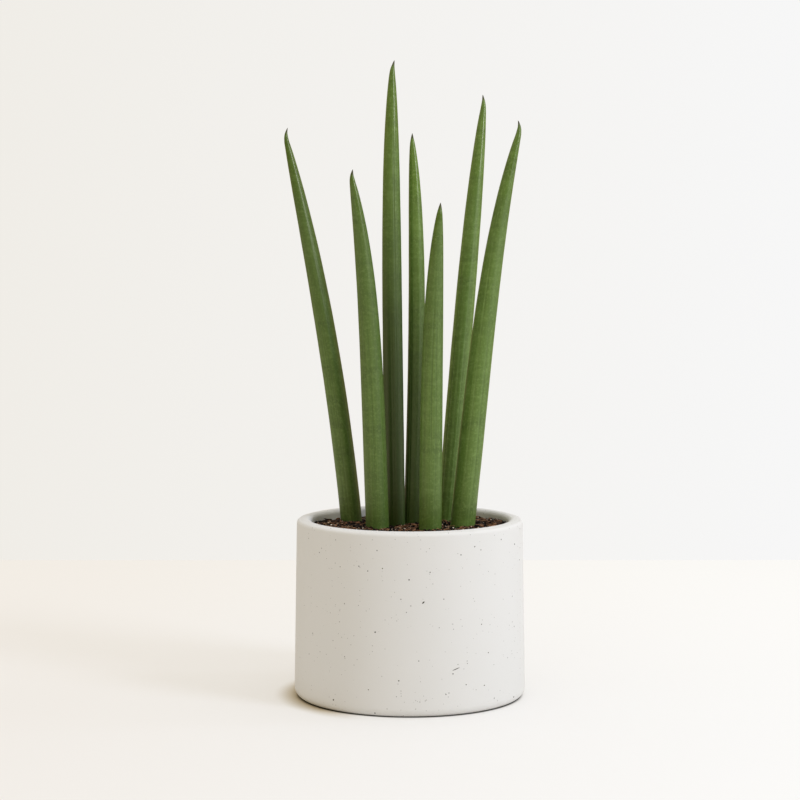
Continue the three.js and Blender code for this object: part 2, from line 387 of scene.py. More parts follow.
def leaf_skin(leaf):
    """The living skin of a snake plant's leaf: a tough, satin, slightly waxy cuticle over lengthwise fibres.

    The eye gets an olive green, deeper on some leaves and towards the feet of the inner ones, where the
    deeper green is partly painted shade, with a dull sheen, faint darker bands and finer pale lines across
    it, fine streaks along it, small pale flecks, darker grooves and a dry dark point.
    """
    material, tree = new_material("snake_plant_leaf_cuticle")
    upright = add_node(tree, "Attribute", {"attribute_name": "upright"}, {}).outputs["Vector"]
    groove = add_node(tree, "Attribute", {"attribute_name": "groove"}, {}).outputs["Fac"]
    from_tip = add_node(tree, "Attribute", {"attribute_name": "from_tip"}, {}).outputs["Fac"]
    share = add_node(tree, "Attribute", {"attribute_name": "leaf_share"}, {}).outputs["Fac"]
    depth = add_node(tree, "Attribute", {"attribute_name": "depth_and_shade_of_green"}, {}).outputs["Fac"]

    across = add_node(tree, "Mapping", {}, {"Vector": upright, "Scale": (0.3, 0.3, 1.0)})
    bands = add_node(tree, "TexNoise", {}, {
        "Vector": across, "Scale": per(12), "Detail": 3.0, "Roughness": 0.55, "Distortion": 0.6,
    })
    lines = add_node(tree, "TexNoise", {}, {
        "Vector": across, "Scale": per(2.2), "Detail": 2.0, "Distortion": 0.3,
    })
    # The fibres are finer than a pixel of the render, so their streaks are drawn coarse enough to show
    along = add_node(tree, "Mapping", {}, {"Vector": upright, "Scale": (1.0, 1.0, 0.012)})
    streaks = add_node(tree, "TexNoise", {}, {
        "Vector": along, "Scale": per(1.0), "Detail": 3.0, "Roughness": 0.6,
    })
    flecks = add_node(tree, "TexNoise", {}, {
        "Vector": upright, "Scale": per(1.2), "Detail": 3.0, "Roughness": 0.6,
    })

    colour = opaque(leaf.skin)
    # Each pattern, the values between which it comes in, the most of its colour that shows, and the colour
    layers = (
        (bands, 0.46, 0.66, 0.35, leaf.band),
        (lines, 0.5, 0.66, 0.2, leaf.pale),
        (streaks, 0.42, 0.68, 0.22, leaf.pale),
        (flecks, 0.5, 0.66, 0.42, leaf.pale),
    )
    for pattern, start, end, most, paint_colour in layers:
        amount = add_node(tree, "MapRange", SMOOTH, {
            "Value": pattern, "From Min": start, "From Max": end, "To Max": most,
        })
        colour = mix_colours(tree, amount.outputs[0], colour, opaque(paint_colour))
    # The deeper green: partly each leaf's own green, and partly painted shade towards the feet of the inner
    # leaves
    colour = mix_colours(tree, depth, colour, opaque(leaf.deep))
    grooved = add_node(tree, "Math", TIMES, {0: groove, 1: 0.45})
    colour = mix_colours(tree, grooved.outputs[0], colour, opaque(leaf.band))
    ragged = add_node(tree, "Math", TIMES_AND_ADD, {0: flecks, 1: 2.0 * MM, 2: from_tip})
    dry = add_node(tree, "MapRange", SMOOTH, {
        "Value": ragged,
        "From Min": leaf.tip_length + 2.2 * MM, "From Max": leaf.tip_length * 0.4 + 1.0 * MM,
    })
    colour = mix_colours(tree, dry.outputs[0], colour, opaque(leaf.tip))

    fibres = add_node(tree, "Math", TIMES_AND_ADD, {0: flecks, 1: 0.5, 2: streaks})
    bump = add_node(tree, "Bump", {}, {"Height": fibres, "Strength": 0.4, "Distance": 0.12 * MM})
    # Young skin near the tip is smoother, and bands, flecks and the dry point are rougher
    worn = add_node(tree, "MapRange", SMOOTH, {
        "Value": share, "From Min": 0.95, "From Max": 0.72, "To Min": 0.05, "To Max": 0.28,
    })
    patchy = add_node(tree, "Math", TIMES_AND_ADD, {0: bands, 1: 0.22, 2: worn})
    waxy = add_node(tree, "Math", TIMES_AND_ADD, {0: flecks, 1: 0.12, 2: patchy})
    satin = add_node(tree, "Math", TIMES_AND_ADD, {0: dry, 1: 0.3, 2: waxy})
    shader = add_node(tree, "BsdfPrincipled", {}, {
        "Base Color": colour, "Roughness": satin, "Normal": bump, "IOR": 1.45,
        "Specular IOR Level": 0.78, "Specular Tint": opaque(leaf.wax),
    })
    add_node(tree, "OutputMaterial", {}, {"Surface": shader})
    return material


def crumbly(name, dark, light, feature_mm, roughness):
    """Matt plant or mineral matter in broken bits.

    The eye gets a dull surface whose tone changes from bit to bit and, in fine grain, over each bit.
    """
    material, tree = new_material(name)
    place = add_node(tree, "TexCoord", {}, {}).outputs["Object"]
    tone = add_node(tree, "Attribute", {"attribute_name": "tone"}, {}).outputs["Fac"]
    grain = add_node(tree, "TexNoise", {}, {
        "Vector": place, "Scale": per(feature_mm), "Detail": 4.0, "Roughness": 0.7,
    })
    centred = add_node(tree, "Math", {"operation": "SUBTRACT"}, {0: grain, 1: 0.5})
    share = add_node(tree, "Math", {"operation": "MULTIPLY_ADD", "use_clamp": True}, {
        0: centred, 1: 1.6, 2: tone,
    })
    colour = mix_colours(tree, share.outputs[0], opaque(dark), opaque(light))
    bump = add_node(tree, "Bump", {}, {
        "Height": grain, "Strength": 0.6, "Distance": 0.2 * feature_mm * MM,
    })
    shader = add_node(tree, "BsdfPrincipled", {}, {
        "Base Color": colour, "Roughness": roughness, "Normal": bump, "Specular IOR Level": 0.2,
    })
    add_node(tree, "OutputMaterial", {}, {"Surface": shader})
    return material


# Pot

def build_pot(pot):
    """The pot: one thick turned wall and floor, a little wider at the foot, with rounded edges."""
    rim_radius = POT["rim_outside"] + pot.rim_rounding
    mouth_radius = POT["mouth_radius"]
    rim_inside = mouth_radius + pot.mouth_rounding
    foot_top = (pot.foot_radius, pot.foot_rounding)
    rim_bottom = (rim_radius, POT["outer_edge"] - pot.rim_rounding)
    rim_fall = pot.height - POT["outer_edge"]
    rim_top = []
    for i in range(1, RIM_TOP_POINTS + 1):
        share = i / (RIM_TOP_POINTS + 1)
        radius = POT["rim_outside"] + (rim_inside - POT["rim_outside"]) * share
        rim_top.append((radius, pot.height - rim_fall * (1 - share) ** 2))
    mouth_bottom = (mouth_radius, pot.height - pot.mouth_rounding)
    floor_top = (pot.floor_radius, pot.floor_thickness + pot.floor_rounding)
    profile = [
        (0, 0),
        *between((0, 0), (pot.foot_radius - pot.foot_rounding, 0), 6),
        *arc(foot_top[0] - pot.foot_rounding, foot_top[1], pot.foot_rounding, -90, 0, 10),
        *between(foot_top, rim_bottom, 40),
        *arc(rim_radius - pot.rim_rounding, rim_bottom[1], pot.rim_rounding, 0, 90, 8),
        *rim_top,
        *arc(rim_inside, mouth_bottom[1], pot.mouth_rounding, 90, 180, 8),
        *between(mouth_bottom, floor_top, 20),
        *arc(pot.floor_radius - pot.floor_rounding, floor_top[1], pot.floor_rounding, 0, -90, 8),
        (0, pot.floor_thickness),
    ]
    bm = spun(profile, pot.sides)
    for v in bm.verts:
        wave = noise.noise(v.co * per(45)) * smooth(0, pot.foot_rounding, v.co.z)
        v.co.xy *= 1 - pot.unevenness * (0.5 + 0.5 * wave) / pot.foot_radius
    finish_piece(bm, "pot_wall", speckled_stoneware(pot), "pot", "pot")


# Soil

def soil_height(soil, x, y):
    """Height of the crumbly top of the soil at a place."""
    outwards = math.hypot(x, y) / soil.radius
    edge = POT["height"] - soil.edge_drop
    mound = edge + (soil.edge_drop - soil.middle_drop) * (1 - outwards * outwards)
    aside = x / soil.radius
    bank = soil.right_bank * max(aside, 0) ** 4 + soil.left_bank * max(-aside, 0) ** 4
    bank -= soil.back_dip * smooth(0, soil.radius, y)
    from_hollow = math.hypot(x + soil.hollow_aside, y - soil.hollow_aside)
    bank -= soil.hollow_depth * (1 - smooth(0, soil.hollow_reach, from_hollow))
    here = Vector((x, y, 0))
    drift = noise.noise(here * per(DRIFTS[0])) * DRIFTS[1] * MM
    clods = (0.5 - noise.voronoi(here * per(CLODS[0]))[0][0]) * CLODS[1] * MM
    crumbs = (0.5 - noise.voronoi(here * per(CRUMBS[0]))[0][0]) * CRUMBS[1] * MM
    return mound + bank + drift + clods + crumbs


def build_soil(soil):
    """The potting mix that fills the pot, with its broken, crumbly top."""
    bottom = POT["floor"] + soil.clearance
    rounding = soil.floor_rounding
    floor_radius = soil.floor_radius - soil.clearance
    top = POT["height"] - soil.edge_drop
    rings = round(soil.radius / soil.crumb_step)
    profile = [
        (0, bottom),
        *arc(floor_radius - rounding, bottom + rounding, rounding, -90, 0, 6),
        *between((floor_radius, bottom + rounding), (soil.radius, top), 8),
        *[(soil.radius * (rings - i) / rings, top) for i in range(rings + 1)],
    ]
    bm = spun(profile, soil.sides)
    for v in bm.verts:
        if v.co.z >= top - 0.01 * MM:
            v.co.z = soil_height(soil, v.co.x, v.co.y)
    tone = bm.verts.layers.float.new("tone")
    for v in bm.verts:
        v[tone] = 0.4 + 0.35 * noise.noise(v.co * per(3.1))
    material = crumbly("peaty_potting_mix", soil.peat, soil.peat_light, 1.3, 0.95)
    finish_piece(bm, "soil_bed", material, "soil", "soil")


def free_place(soil, draw, margin):
    """A random place on the soil, clear of the leaves' feet and of the pot's wall by a margin."""
    while True:
        radius = (soil.radius - margin) * math.sqrt(draw.random())
        angle = draw.uniform(0, math.tau)
        x, y = radius * math.cos(angle), radius * math.sin(angle)
        if all(math.hypot(x - foot.x, y - foot.y) > foot.z + margin for foot in FEET.values()):
            return x, y


def scatter(soil, name, material, seed, count, margin, make_bit):
    """Lay many bits on the soil, each with a tone of its own.

    make_bit shapes one at the origin, and says how high its middle lies over the soil and how much it tilts.
    """
    draw = random.Random(seed)
    whole = bmesh.new()
    scrap = bpy.data.meshes.new("scrap")
    for _ in range(count):
        x, y = free_place(soil, draw, margin)
        bit = bmesh.new()
        tone = bit.verts.layers.float.new("tone")
        lift, tilt = make_bit(bit, draw)
        turn = Euler((draw.gauss(0, tilt), draw.gauss(0, tilt), draw.uniform(0, math.tau)))
        shift = Matrix.Translation((x, y, soil_height(soil, x, y) + lift))
        bmesh.ops.transform(bit, matrix=shift @ turn.to_matrix().to_4x4(), verts=bit.verts)
        shade = draw.random() ** BIT_TONE_POWER
        for v in bit.verts:
            v[tone] = shade
        bit.to_mesh(scrap)
        bit.free()
        whole.from_mesh(scrap)
    bpy.data.meshes.remove(scrap)
    finish_piece(whole, name, material, "soil")


def shape_lump(bm, draw, size, flatness, stretch, level, rough):
    """One broken bit with uneven sides: a ball pressed flat, drawn out and knocked about."""
    bmesh.ops.create_icosphere(bm, subdivisions=level, radius=size / 2)
    start = Vector([draw.uniform(-50, 50) for _ in range(3)])
    for v in bm.verts:
        v.co *= 1 + rough * noise.noise(v.co.normalized() * 1.7 + start)
        v.co.x *= stretch
        v.co.z *= flatness


def shape_fibre(bm, draw):
    """One thin, bent strand: a small ring swept along an arc, then waved up and down."""
    thickness = draw.uniform(0.12, 0.26) * MM
    bend = draw.uniform(4, 14) * MM
    long = draw.triangular(2, 9, 4) * MM
    ring = bmesh.ops.create_circle(bm, segments=4, radius=thickness / 2, cap_ends=True)
    bmesh.ops.rotate(bm, verts=ring["verts"], cent=(0, 0, 0), matrix=Matrix.Rotation(math.pi / 2, 3, "X"))
    bmesh.ops.spin(bm, geom=bm.faces[:], cent=(bend, 0, 0), axis=(0, 0, 1), angle=long / bend, steps=9)
    bmesh.ops.recalc_face_normals(bm, faces=bm.faces)
    middle = sum((v.co for v in bm.verts), Vector()) / len(bm.verts)
    for v in bm.verts:
        v.co -= middle
        v.co.z += 0.6 * MM * noise.noise(Vector((v.co.x, v.co.y, bend)) * per(5))


def build_litter(soil):
    """Bark chips, coir fibres, crumbs of peat and pale grit that lie on the soil."""
    bark = crumbly("shredded_pine_bark", soil.bark_dark, soil.bark, 0.7, 0.85)
    coir = crumbly("coir_fibre", soil.bark, soil.coir, 0.7, 0.8)
    peat = crumbly("peat_crumbs", soil.peat, soil.bark_dark, 0.8, 0.95)
    grit = crumbly("pumice_grit", soil.grit_dark, soil.grit, 0.6, 0.9)

    def crumb(bm, draw):
        size = draw.triangular(0.5, 2.0, 0.8) * MM
        shape_lump(bm, draw, size, 0.8, 1.1, 1, 0.5)
        return 0.1 * size, 0.6

    def chip(bm, draw):
        size = draw.triangular(0.7, 2.6, 1.2) * MM
        flatness = draw.uniform(0.25, 0.5)
        shape_lump(bm, draw, size, flatness, draw.uniform(1.1, 2.4), 2, 0.9)
        return 0.15 * size * flatness + 0.2 * MM, 0.35

    def grain(bm, draw):
        size = draw.triangular(0.4, 1.3, 0.6) * MM
        shape_lump(bm, draw, size, 0.8, 1.3, 1, 0.5)
        return 0.2 * size, 0.6

    def fibre(bm, draw):
        shape_fibre(bm, draw)
        return draw.uniform(0.6, 1.2) * MM, 0.08

    scatter(soil, "peat_crumbs", peat, 21, soil.crumb_count, 0.8 * MM, crumb)
    scatter(soil, "bark_chips", bark, 22, soil.chip_count, 1.6 * MM, chip)
    scatter(soil, "pale_grit", grit, 23, soil.grit_count, 0.7 * MM, grain)
    scatter(soil, "coir_fibres", coir, 24, soil.fibre_count, 4 * MM, fibre)


# Rootstock

def rhizome_skin(root):
    """The corky skin of a rhizome.

    The eye gets a dull, warm tan with darker leaf scars.
    """
    material, tree = new_material("rhizome_skin")
    place = add_node(tree, "TexCoord", {}, {}).outputs["Object"]
    cork = add_node(tree, "TexNoise", {}, {
        "Vector": place, "Scale": per(4), "Detail": 5.0, "Roughness": 0.65,
    })
    scars = add_node(tree, "TexNoise", {}, {
        "Vector": place, "Scale": per(9), "Detail": 1.0, "Distortion": 2.0,
    })
    both = add_node(tree, "Math", TIMES, {0: cork, 1: scars})
    share = add_node(tree, "MapRange", {}, {"Value": both, "From Min": 0.15, "From Max": 0.35})
    colour = mix_colours(tree, share.outputs[0], opaque(root.scar), opaque(root.skin))
    bump = add_node(tree, "Bump", {}, {"Height": cork, "Strength": 0.6, "Distance": 0.5 * MM})
    shader = add_node(tree, "BsdfPrincipled", {}, {"Base Color": colour, "Roughness": 0.75, "Normal": bump})
    add_node(tree, "OutputMaterial", {}, {"Surface": shader})
    return material


def build_rootstock(root):
    """The rootstock in the soil keeps its shape in the frame and gets its skin."""
    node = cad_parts["rootstock"]
    node.data.materials.clear()
    node.data.materials.append(rhizome_skin(root))


# Leaves

def lengthwise_grooves(leaf, draw):
    """The shallow grooves of one leaf: angle, depth, and the shares of the leaf where it starts and ends."""
    return [
        (
            math.tau * (i + draw.uniform(-0.35, 0.35)) / leaf.groove_count,
            leaf.groove_depth * draw.uniform(0.3, 1),
            draw.uniform(-0.3, 0.25),
            draw.uniform(0.5, 1),
        )
        for i in range(leaf.groove_count)
    ]


def groove_depth_at(grooves, angle, share, radius, width):
    """Depth of the grooves at an angle round the leaf and a share of its height."""
    depth = 0
    for middle, deepest, start, end in grooves:
        wander = middle + 0.05 * math.sin(7 * share + 11 * middle)
        aside = math.remainder(angle - wander, math.tau) * radius / width
        if abs(aside) < 3:
            fade = smooth(start - 0.12, start + 0.12, share) * (1 - smooth(end - 0.3, end, share))
            depth = max(depth, deepest * fade * math.exp(-aside * aside))
    return depth


def build_leaf(leaf, name, number, material):
    """One leaf: turned upright, grooved and pressed with its channel, then bent onto its middle line."""
    draw = random.Random(100 + number)
    rings = LEAF_RINGS[name]
    bottom, tip = rings[0][0], rings[-1][0]
    height = tip - SOIL_LEVEL
    stations = []
    for i in range(leaf.stations + 1):
        stations.append(tip - (tip - bottom) * (i / leaf.stations) ** leaf.station_power)
    profile = [(0, bottom)]
    for z in reversed(stations):
        point = min((tip - z) / leaf.point_length, 1) ** 0.5
        spike = SPIKE_THICKNESS + (1 - SPIKE_THICKNESS) * smooth(0, leaf.spike_length, tip - z)
        profile.append((on_rings(rings, z).z * point * spike, z))
    bm = spun(profile, leaf.sides)

    upright = bm.verts.layers.float_vector.new("upright")
    groove = bm.verts.layers.float.new("groove")
    from_tip = bm.verts.layers.float.new("from_tip")
    leaf_share = bm.verts.layers.float.new("leaf_share")
    depth_and_shade_of_green = bm.verts.layers.float.new("depth_and_shade_of_green")
    grooves = lengthwise_grooves(leaf, draw)
    foot = on_rings(rings, SOIL_LEVEL)
    facing = math.atan2(leaf.clump_middle[1] - foot.y, leaf.clump_middle[0] - foot.x)
    offset = Vector((0, 0, number * PATTERN_SHIFT))
    green_above, green_and_shade_below = leaf.depth_above[number - 1], leaf.depth_and_shade_below[number - 1]
    middles = {z: on_rings(rings, z) for z in {v.co.z for v in bm.verts}}
    for v in bm.verts:
        x, y, z = v.co
        middle = middles[z]
        share = (z - SOIL_LEVEL) / height
        angle = math.atan2(y, x)
        radius = math.hypot(x, y)
        v[upright] = v.co + offset
        v[from_tip] = tip - z
        v[leaf_share] = min(max(share, 0), 1)
        # Towards the foot the deeper green is partly painted shade, strongest on the leaves inside the clump
        lowness = 1 - smooth(*GREEN_CHANGE, share)
        v[depth_and_shade_of_green] = green_above * (1 - lowness) + green_and_shade_below * lowness
        swell = leaf.unevenness * noise.noise((v.co + offset) * per(16))
        channel = leaf.channel_depth * max(math.cos(angle - facing), 0) ** leaf.channel_power
        pressed = 1 - channel + swell
        if radius > 0.3 * MM:
            depth = groove_depth_at(grooves, angle, share, radius, leaf.groove_width)
            v[groove] = depth / leaf.groove_depth
            pressed -= min(depth / radius, DEEPEST_GROOVE)
        moved = (middle.x + x * pressed, middle.y + y * pressed, z)
        v.co = [min(max(c, low), high) for c, low, high in zip(moved, *CAD_BOX)]
    finish_piece(bm, name + "_blade", material, "leaf", name)


def build_leaves(leaf):
    """All the leaves, from left to right in the photograph."""
    material = leaf_skin(leaf)
    for number, name in enumerate(LEAF_NAMES, 1):
        build_leaf(leaf, name, number, material)


# Stage

def build_floor(stage):
    """A pale, matt painted floor with a straight far edge.

    The eye gets an almost white ground whose glow is painted light that fills in its shadows, brighter on the
    right and at the back. In the gap under the pot's rounded foot it is painted black without glow, as a
    painted contact shadow, and close by on the left it has a dimmer, warmer painted shadow, away from the
    window.
    """
    bm = bmesh.new()
    bmesh.ops.create_grid(bm, x_segments=2, y_segments=2, size=stage.floor_reach)
    bmesh.ops.translate(bm, verts=bm.verts, vec=(0, stage.floor_back - stage.floor_reach, 0))
    mesh = bpy.data.meshes.new("floor")
    bm.to_mesh(mesh)
    bm.free()
    material, tree = new_material("painted_floor")
    place = add_node(tree, "TexCoord", {}, {}).outputs["Object"]
    cloud = add_node(tree, "TexNoise", {}, {"Vector": place, "Scale": 3.0, "Detail": 2.0})
    axes = add_node(tree, "SeparateXYZ", {}, {"Vector": place})
    rightwards = add_node(tree, "MapRange", SMOOTH, {
        "Value": axes.outputs["X"], "From Min": -0.3, "From Max": 0.3,
    })
    backwards = add_node(tree, "MapRange", SMOOTH, {
        "Value": axes.outputs["Y"], "From Min": -0.2, "From Max": 0.45,
        "To Min": 1.0, "To Max": stage.glow_far,
    })
    # The glow is painted light: the floor's own emission, brighter on the right and at the back, fills in its
    # shadows
    glow = mix_colours(tree, rightwards.outputs[0], opaque(stage.glow_left), opaque(stage.glow_right))
    flat = add_node(tree, "VectorMath", TIMES, {0: place, 1: (1, 1, 0)})
    away = add_node(tree, "VectorMath", {"operation": "LENGTH"}, {0: flat}).outputs["Value"]
    foot = POT["foot_radius"]
    # Painted contact shadow: 0 in the gap under the foot, where the floor is painted black and has no glow, 1
    # outside it
    outside_painted_gap_shadow = add_node(tree, "MapRange", SMOOTH, {
        "Value": away, "From Min": foot - GAP_END, "From Max": foot - GAP_START,
    })
    # Painted soft shadow of the pot, close to the foot on the left: it dims the glow and warms the floor's
    # colour
    beside = add_node(tree, "MapRange", SMOOTH, {
        "Value": away, "From Min": foot - SHADOW_START, "From Max": foot + SHADOW_REACH,
    })
    left = add_node(tree, "MapRange", SMOOTH, {
        "Value": axes.outputs["X"], "From Min": SHADOW_SIDES[0], "From Max": SHADOW_SIDES[1],
    })
    lost = add_node(tree, "Math", TIMES_AND_ADD, {0: beside, 1: -1.0, 2: 1.0})
    painted_side_shadow = add_node(tree, "Math", TIMES, {0: lost, 1: left})
    glow_outside_painted_shadows = add_node(tree, "Math", {"operation": "SUBTRACT"}, {0: outside_painted_gap_shadow, 1: painted_side_shadow})
    level = add_node(tree, "Math", TIMES, {0: glow_outside_painted_shadows, 1: backwards})
    strength = add_node(tree, "Math", {"operation": "MAXIMUM"}, {0: level, 1: 0.0})
    rough = add_node(tree, "MapRange", {}, {"Value": cloud, "To Min": 0.7, "To Max": 0.8})
    # The floor takes the warmer colour of its painted soft shadow beside the pot on the left
    ground = mix_colours(tree, painted_side_shadow.outputs[0], opaque(stage.floor), opaque(stage.floor_shade))
    # The floor is painted black in the gap under the foot, as a painted contact shadow
    colour = mix_colours(tree, outside_painted_gap_shadow.outputs[0], opaque((0, 0, 0)), ground)
    shader = add_node(tree, "BsdfPrincipled", {}, {
        "Base Color": colour, "Roughness": rough, "Specular IOR Level": 0.2,
        "Emission Color": glow, "Emission Strength": strength,
    })
    add_node(tree, "OutputMaterial", {}, {"Surface": shader})
    mesh.materials.append(material)
    floor = bpy.data.objects.new("floor", mesh)
    bpy.context.scene.collection.objects.link(floor)


def build_room(stage):
    """The light of a white room with a bright ceiling, and the pale wall that the camera sees."""
    world = bpy.data.worlds.new("white_room")
    bpy.context.scene.world = world
    world.use_nodes = True
    tree = world.node_tree
    tree.nodes.clear()
    direction = add_node(tree, "TexCoord", {}, {}).outputs["Generated"]
    axes = add_node(tree, "SeparateXYZ", {}, {"Vector": direction})
    # The wall that the camera sees is painted brighter on the right, as painted light from the window side
    wall_side = add_node(tree, "MapRange", {}, {
        "Value": axes.outputs["X"], "From Min": -0.19, "From Max": 0.19,
    })
    wall = mix_colours(tree, wall_side.outputs[0], opaque(stage.wall_left), opaque(stage.wall_right))
    room_light = add_node(tree, "Background", {}, {"Color": opaque(stage.room), "Strength": stage.room_level})
    up = add_node(tree, "Math", {"operation": "MAXIMUM"}, {0: axes.outputs["Z"], 1: 0.0})
    overhead = add_node(tree, "Math", TIMES, {0: up, 1: up})
    level = add_node(tree, "Math", TIMES, {0: overhead, 1: stage.ceiling_level})
    ceiling_light = add_node(tree, "Background", {}, {"Color": opaque(stage.ceiling), "Strength": level})
    room_light = add_node(tree, "AddShader", {}, {0: room_light, 1: ceiling_light})
    wall_light = add_node(tree, "Background", {}, {"Color": wall})
    seen = add_node(tree, "LightPath", {}, {}).outputs["Is Camera Ray"]
    both = add_node(tree, "MixShader", {}, {0: seen, 1: room_light, 2: wall_light})
    add_node(tree, "OutputWorld", {}, {"Surface": both})


def add_lamp(name, place, width, height, power, colour):
    """A tall soft box at a place, turned to the middle of the plant."""
    light = bpy.data.lights.new(name, "AREA")
    light.shape = "RECTANGLE"
    light.size = width
    light.size_y = height
    light.energy = power
    light.color = colour
    lamp = bpy.data.objects.new(name, light)
    lamp.location = place
    lamp.rotation_euler = (Vector(LAMP_TARGET) - Vector(place)).to_track_quat("-Z", "Y").to_euler()
    bpy.context.scene.collection.objects.link(lamp)


def build_camera(stage):
    """The camera at the photograph's place and angle."""
    data = bpy.data.cameras.new("camera")
    data.sensor_width = SENSOR_WIDTH
    data.lens = stage.lens
    data.clip_start = 0.01
    camera = bpy.data.objects.new("camera", data)
    camera.location = stage.camera_place
    camera.rotation_euler = (math.pi / 2 - stage.camera_pitch, 0, 0)
    bpy.context.scene.collection.objects.link(camera)
    bpy.context.scene.camera = camera


def build_stage(stage):
    """Floor, room light, two soft boxes and camera."""
    bpy.context.scene.view_settings.view_transform = "Standard"
    build_floor(stage)
    build_room(stage)
    add_lamp(
        "window", stage.window_place, stage.window_width, stage.window_height, stage.window_power,
        stage.window_colour,
    )
    add_lamp(
        "side_strip", stage.strip_place, stage.strip_width, stage.strip_height, stage.strip_power,
        stage.window_colour,
    )
    build_camera(stage)


# Settings

def length(name, description, default, **limits):
    """A size in metres that the sidebar shows as a length."""
    return bpy.props.FloatProperty(
        name=name, description=description, default=default, unit="LENGTH", precision=5, **limits
    )


def paint(name, description, code):
    """A colour, given as sRGB hex."""
    return bpy.props.FloatVectorProperty(
        name=name, description=description, default=srgb(code), subtype="COLOR", size=3, min=0, max=1
    )


def whole_number(name, description, default, least=0):
    """A whole number."""
    return bpy.props.IntProperty(name=name, description=description, default=default, min=least)


def plain_number(name, description, default, **settings):
    """A share, a strength or another plain number."""
    return bpy.props.FloatProperty(name=name, description=description, default=default, **settings)


def position(name, description, default):
    """A place in the scene."""
    return bpy.props.FloatVectorProperty(
        name=name, description=description, default=default, subtype="TRANSLATION"
    )


class PotSettings(bpy.types.PropertyGroup):
    """Sizes and colours of the pot."""

    height: length("Height", "Height of the pot", POT["height"])
    foot_radius: length("Foot radius", "Radius just above the foot's rounding", POT["foot_radius"])
    foot_rounding: length("Foot rounding", "Rounding of the edge that the pot stands on", 4.4 * MM)
    rim_rounding: length("Rim rounding", "Rounding of the rim's outer edge", 1.9 * MM)
    mouth_rounding: length("Mouth rounding", "Rounding of the rim's inner edge", 2.6 * MM)
    floor_radius: length("Floor radius", "Inner radius at the floor", 51 * MM)
    floor_thickness: length("Floor thickness", "Thickness of the floor", POT["floor"])
    floor_rounding: length("Floor rounding", "Rounding between the floor and the wall", 6 * MM)
    unevenness: length("Unevenness", "How far the hand finish leaves the wall from a true circle", 0.12 * MM)
    sides: whole_number("Sides", "Faces round the pot", 240, 12)
    clay: paint("Clay", "Colour of the fired clay", "#dcdbda")
    clay_shade: paint("Clay shade", "Colour of the clay's darker clouds", "#d8d8d7")
    speck: paint("Specks", "Colour of the iron specks", "#3a342c")


class SoilSettings(bpy.types.PropertyGroup):
    """Sizes, counts and colours of the soil and of what lies on it."""

    radius: length("Radius", "Radius of the soil's top", 52.15 * MM)
    floor_radius: length("Floor radius", "Inner radius of the pot at its floor", 51 * MM)
    floor_rounding: length("Floor rounding", "Rounding at the bottom", 6 * MM)
    clearance: length("Clearance", "Gap to the pot", 0.3 * MM)
    edge_drop: length("Edge drop", "How far the soil's edge lies under the rim", 4.1 * MM)
    middle_drop: length("Middle drop", "How far the soil's middle lies under the rim", 4.5 * MM)
    right_bank: length("Right bank", "How much higher the soil lies against the wall on the right", 1.1 * MM)
    left_bank: length("Left bank", "How much higher the soil lies against the wall on the left", 0.6 * MM)
    back_dip: length("Back dip", "How much lower the soil lies at the back", 1.6 * MM)
    hollow_aside: length("Hollow aside", "How far left and back of the middle the hollow lies", 36 * MM)
    hollow_depth: length("Hollow depth", "Depth of the hollow at the back on the left", 1.5 * MM)
    hollow_reach: length("Hollow reach", "Radius of the hollow at the back on the left", 17 * MM)
    crumb_step: length("Crumb step", "Distance between the rings of the soil's top", 0.7 * MM)
    sides: whole_number("Sides", "Faces round the soil", 300, 12)
    crumb_count: whole_number("Crumbs", "Dark crumbs on the soil", 2200)
    chip_count: whole_number("Bark chips", "Bark chips on the soil", 620)
    grit_count: whole_number("Grit", "Pale grains on the soil", 540)
    fibre_count: whole_number("Fibres", "Coir fibres on the soil", 130)
    peat: paint("Peat", "Colour of damp peat", "#0c0805")
    peat_light: paint("Dry peat", "Colour of drier peat", "#2a1c14")
    bark_dark: paint("Dark bark", "Colour of the darkest bark", "#1c110b")
    bark: paint("Bark", "Colour of reddish bark", "#93694c")
    coir: paint("Coir", "Colour of coir fibres", "#b08c68")
    grit_dark: paint("Stained grit", "Colour of stained grains", "#7a614c")
    grit: paint("Grit", "Colour of clean pale grains", "#ecdfcc")


class RootSettings(bpy.types.PropertyGroup):
    """Colours of the rootstock."""

    skin: paint("Skin", "Colour of the rhizome's skin", "#c58d52")
    scar: paint("Scars", "Colour of the scars and cork", "#7a4f2a")


